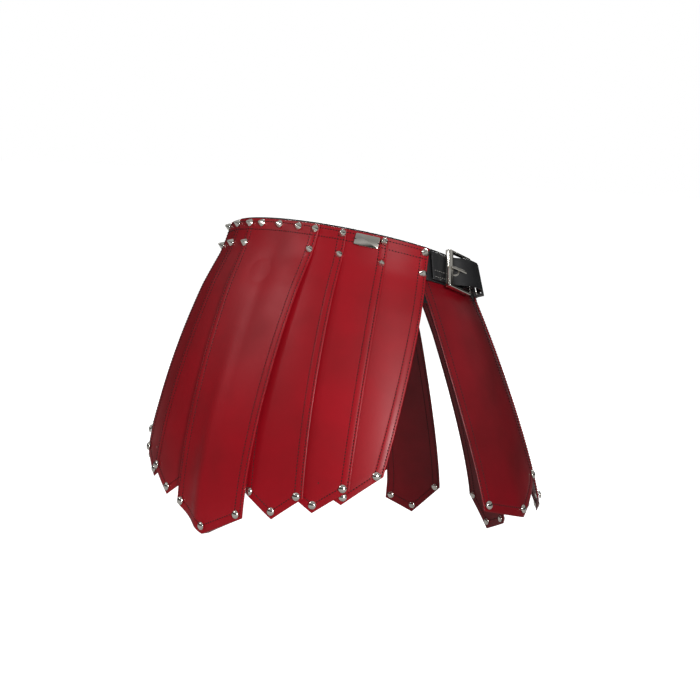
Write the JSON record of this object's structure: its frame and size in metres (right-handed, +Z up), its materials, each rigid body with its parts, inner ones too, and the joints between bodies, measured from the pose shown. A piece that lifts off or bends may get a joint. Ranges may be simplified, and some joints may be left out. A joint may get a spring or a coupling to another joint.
{
  "type": "studded strap skirt",
  "caption": "Wrap-round skirt of overlapping pointed leather straps on a studded waist belt, worn round the hips and closed by a buckle at each side.",
  "frame": {"origin": "centre of the waist ring, level with the top edge of the belt midway between the centre panel and the rear slit", "axes": "+Z up, -Y out through the wide centre panel, +X towards the hip whose name plate side is shown, +Y out through the rear slit"},
  "size_m": [0.5412, 0.4564, 0.4042],
  "materials": {
    "red_leather": "smooth coated leather with a soft satin sheen",
    "black_leather": "smooth black belt leather, semi-matt",
    "nickel": "polished nickel plate"
  },
  "bodies": {
    "root": {"main_belt": "black_leather", "main_strap_heads": "red_leather", "rear_belt": "black_leather", "rear_strap_heads_right": "red_leather", "rear_strap_heads_left": "red_leather", "waist_stud_centre_1": "nickel", "waist_stud_centre_2": "nickel", "waist_stud_centre_3": "nickel", "waist_stud_upper_right_centre": "nickel", "waist_stud_lower_right_centre": "nickel", "waist_stud_upper_right_1": "nickel", "waist_stud_lower_right_1": "nickel", "waist_stud_upper_right_2": "nickel", "waist_stud_lower_right_2": "nickel", "waist_stud_upper_right_3": "nickel", "waist_stud_lower_right_3": "nickel", "waist_stud_upper_left_centre": "nickel", "waist_stud_lower_left_centre": "nickel", "waist_stud_upper_left_1": "nickel", "waist_stud_lower_left_1": "nickel", "waist_stud_upper_left_2": "nickel", "waist_stud_lower_left_2": "nickel", "waist_stud_upper_left_3": "nickel", "waist_stud_lower_left_3": "nickel", "name_plate": "nickel", "buckle_chape_right": "black_leather", "buckle_chape_left": "black_leather", "billet_right": "black_leather", "keeper_right": "black_leather", "billet_left": "black_leather", "keeper_left": "black_leather"},
    "main_strap_centre": {"main_strap_centre": "red_leather"},
    "main_strap_right_1": {"main_strap_right_1": "red_leather"},
    "main_strap_right_2": {"main_strap_right_2": "red_leather"},
    "main_strap_right_3": {"main_strap_right_3": "red_leather"},
    "hip_panel_right": {"hip_panel_right": "red_leather"},
    "main_strap_left_1": {"main_strap_left_1": "red_leather"},
    "main_strap_left_2": {"main_strap_left_2": "red_leather"},
    "main_strap_left_3": {"main_strap_left_3": "red_leather"},
    "hip_panel_left": {"hip_panel_left": "red_leather"},
    "rear_strap_right_1": {"rear_strap_right_1": "red_leather"},
    "rear_strap_right_2": {"rear_strap_right_2": "red_leather"},
    "rear_strap_right_3": {"rear_strap_right_3": "red_leather"},
    "rear_strap_left_1": {"rear_strap_left_1": "red_leather"},
    "rear_strap_left_2": {"rear_strap_left_2": "red_leather"},
    "rear_strap_left_3": {"rear_strap_left_3": "red_leather"},
    "buckle_frame_right": {"buckle_frame_right": "nickel"},
    "buckle_prong_right": {"buckle_prong_right": "nickel"},
    "buckle_frame_left": {"buckle_frame_left": "nickel"},
    "buckle_prong_left": {"buckle_prong_left": "nickel"}
  },
  "joints": [
    {"name": "main_strap_centre_lift", "type": "hinge", "parent": "root", "child": "main_strap_centre", "pos_m": [0, -0.1367, -0.0054], "axis": [-1, 0, 0], "range_deg": [0, 36]},
    {"name": "main_strap_right_1_lift", "type": "hinge", "parent": "root", "child": "main_strap_right_1", "pos_m": [0.05607, -0.12905, -0.00714], "axis": [-0.9695, -0.2359, 0.0661], "range_deg": [0, 28.8]},
    {"name": "main_strap_right_2_lift", "type": "hinge", "parent": "root", "child": "main_strap_right_2", "pos_m": [0.10559, -0.11029, -0.01199], "axis": [-0.8729, -0.4698, 0.1315], "range_deg": [0, 22.32]},
    {"name": "main_strap_right_3_lift", "type": "hinge", "parent": "root", "child": "main_strap_right_3", "pos_m": [0.14739, -0.07875, -0.01997], "axis": [-0.673, -0.7122, 0.1994], "range_deg": [0, 16.56]},
    {"name": "hip_panel_right_lift", "type": "hinge", "parent": "root", "child": "hip_panel_right", "pos_m": [0.1727, 0, -0.039], "axis": [0, -0.963, 0.2696], "range_deg": [0, 9]},
    {"name": "main_strap_left_1_lift", "type": "hinge", "parent": "root", "child": "main_strap_left_1", "pos_m": [-0.05607, -0.12905, -0.00714], "axis": [-0.9695, 0.2359, -0.0661], "range_deg": [0, 28.8]},
    {"name": "main_strap_left_2_lift", "type": "hinge", "parent": "root", "child": "main_strap_left_2", "pos_m": [-0.10559, -0.11029, -0.01199], "axis": [-0.8729, 0.4698, -0.1315], "range_deg": [0, 22.32]},
    {"name": "main_strap_left_3_lift", "type": "hinge", "parent": "root", "child": "main_strap_left_3", "pos_m": [-0.14739, -0.07875, -0.01997], "axis": [-0.673, 0.7122, -0.1994], "range_deg": [0, 16.56]},
    {"name": "hip_panel_left_lift", "type": "hinge", "parent": "root", "child": "hip_panel_left", "pos_m": [-0.1727, 0, -0.039], "axis": [0, 0.963, -0.2696], "range_deg": [0, 9]},
    {"name": "rear_strap_right_1_lift", "type": "hinge", "parent": "root", "child": "rear_strap_right_1", "pos_m": [0.1377, 0.08407, -0.05992], "axis": [0.7252, -0.663, 0.1857], "range_deg": [0, 36]},
    {"name": "rear_strap_right_2_lift", "type": "hinge", "parent": "root", "child": "rear_strap_right_2", "pos_m": [0.09399, 0.11273, -0.06734], "axis": [0.9011, -0.4175, 0.1169], "range_deg": [0, 28.8]},
    {"name": "rear_strap_right_3_lift", "type": "hinge", "parent": "root", "child": "rear_strap_right_3", "pos_m": [0.04218, 0.12893, -0.0716], "axis": [0.9827, -0.1782, 0.0499], "range_deg": [0, 22.32]},
    {"name": "rear_strap_left_1_lift", "type": "hinge", "parent": "root", "child": "rear_strap_left_1", "pos_m": [-0.1377, 0.08407, -0.05992], "axis": [0.7252, 0.663, -0.1857], "range_deg": [0, 36]},
    {"name": "rear_strap_left_2_lift", "type": "hinge", "parent": "root", "child": "rear_strap_left_2", "pos_m": [-0.09399, 0.11273, -0.06734], "axis": [0.9011, 0.4175, -0.1169], "range_deg": [0, 28.8]},
    {"name": "rear_strap_left_3_lift", "type": "hinge", "parent": "root", "child": "rear_strap_left_3", "pos_m": [-0.04218, 0.12893, -0.0716], "axis": [0.9827, 0.1782, -0.0499], "range_deg": [0, 22.32]},
    {"name": "buckle_frame_right_lift", "type": "hinge", "parent": "root", "child": "buckle_frame_right", "pos_m": [0.17659, 0.01734, -0.02303], "axis": [-0.2943, 0.261, 0.9194], "range_deg": [0, 12]},
    {"name": "buckle_prong_right_lift", "type": "hinge", "parent": "buckle_frame_right", "child": "buckle_prong_right", "pos_m": [0.17659, 0.01734, -0.02303], "axis": [-0.2943, 0.261, 0.9194], "range_deg": [0, 15]},
    {"name": "buckle_frame_left_lift", "type": "hinge", "parent": "root", "child": "buckle_frame_left", "pos_m": [-0.17659, 0.01734, -0.02303], "axis": [-0.2943, -0.261, -0.9194], "range_deg": [0, 12]},
    {"name": "buckle_prong_left_lift", "type": "hinge", "parent": "buckle_frame_left", "child": "buckle_prong_left", "pos_m": [-0.17659, 0.01734, -0.02303], "axis": [-0.2943, -0.261, -0.9194], "range_deg": [0, 15]}
  ],
  "couplings": [
    {"joint": "main_strap_right_1_lift", "follows": "main_strap_centre_lift", "ratio": 0.8},
    {"joint": "main_strap_right_2_lift", "follows": "main_strap_centre_lift", "ratio": 0.62},
    {"joint": "main_strap_right_3_lift", "follows": "main_strap_centre_lift", "ratio": 0.46},
    {"joint": "hip_panel_right_lift", "follows": "main_strap_centre_lift", "ratio": 0.25},
    {"joint": "main_strap_left_1_lift", "follows": "main_strap_centre_lift", "ratio": 0.8},
    {"joint": "main_strap_left_2_lift", "follows": "main_strap_centre_lift", "ratio": 0.62},
    {"joint": "main_strap_left_3_lift", "follows": "main_strap_centre_lift", "ratio": 0.46},
    {"joint": "hip_panel_left_lift", "follows": "main_strap_centre_lift", "ratio": 0.25},
    {"joint": "rear_strap_right_2_lift", "follows": "rear_strap_right_1_lift", "ratio": 0.8},
    {"joint": "rear_strap_right_3_lift", "follows": "rear_strap_right_1_lift", "ratio": 0.62},
    {"joint": "rear_strap_left_2_lift", "follows": "rear_strap_left_1_lift", "ratio": 0.8},
    {"joint": "rear_strap_left_3_lift", "follows": "rear_strap_left_1_lift", "ratio": 0.62}
  ]
}
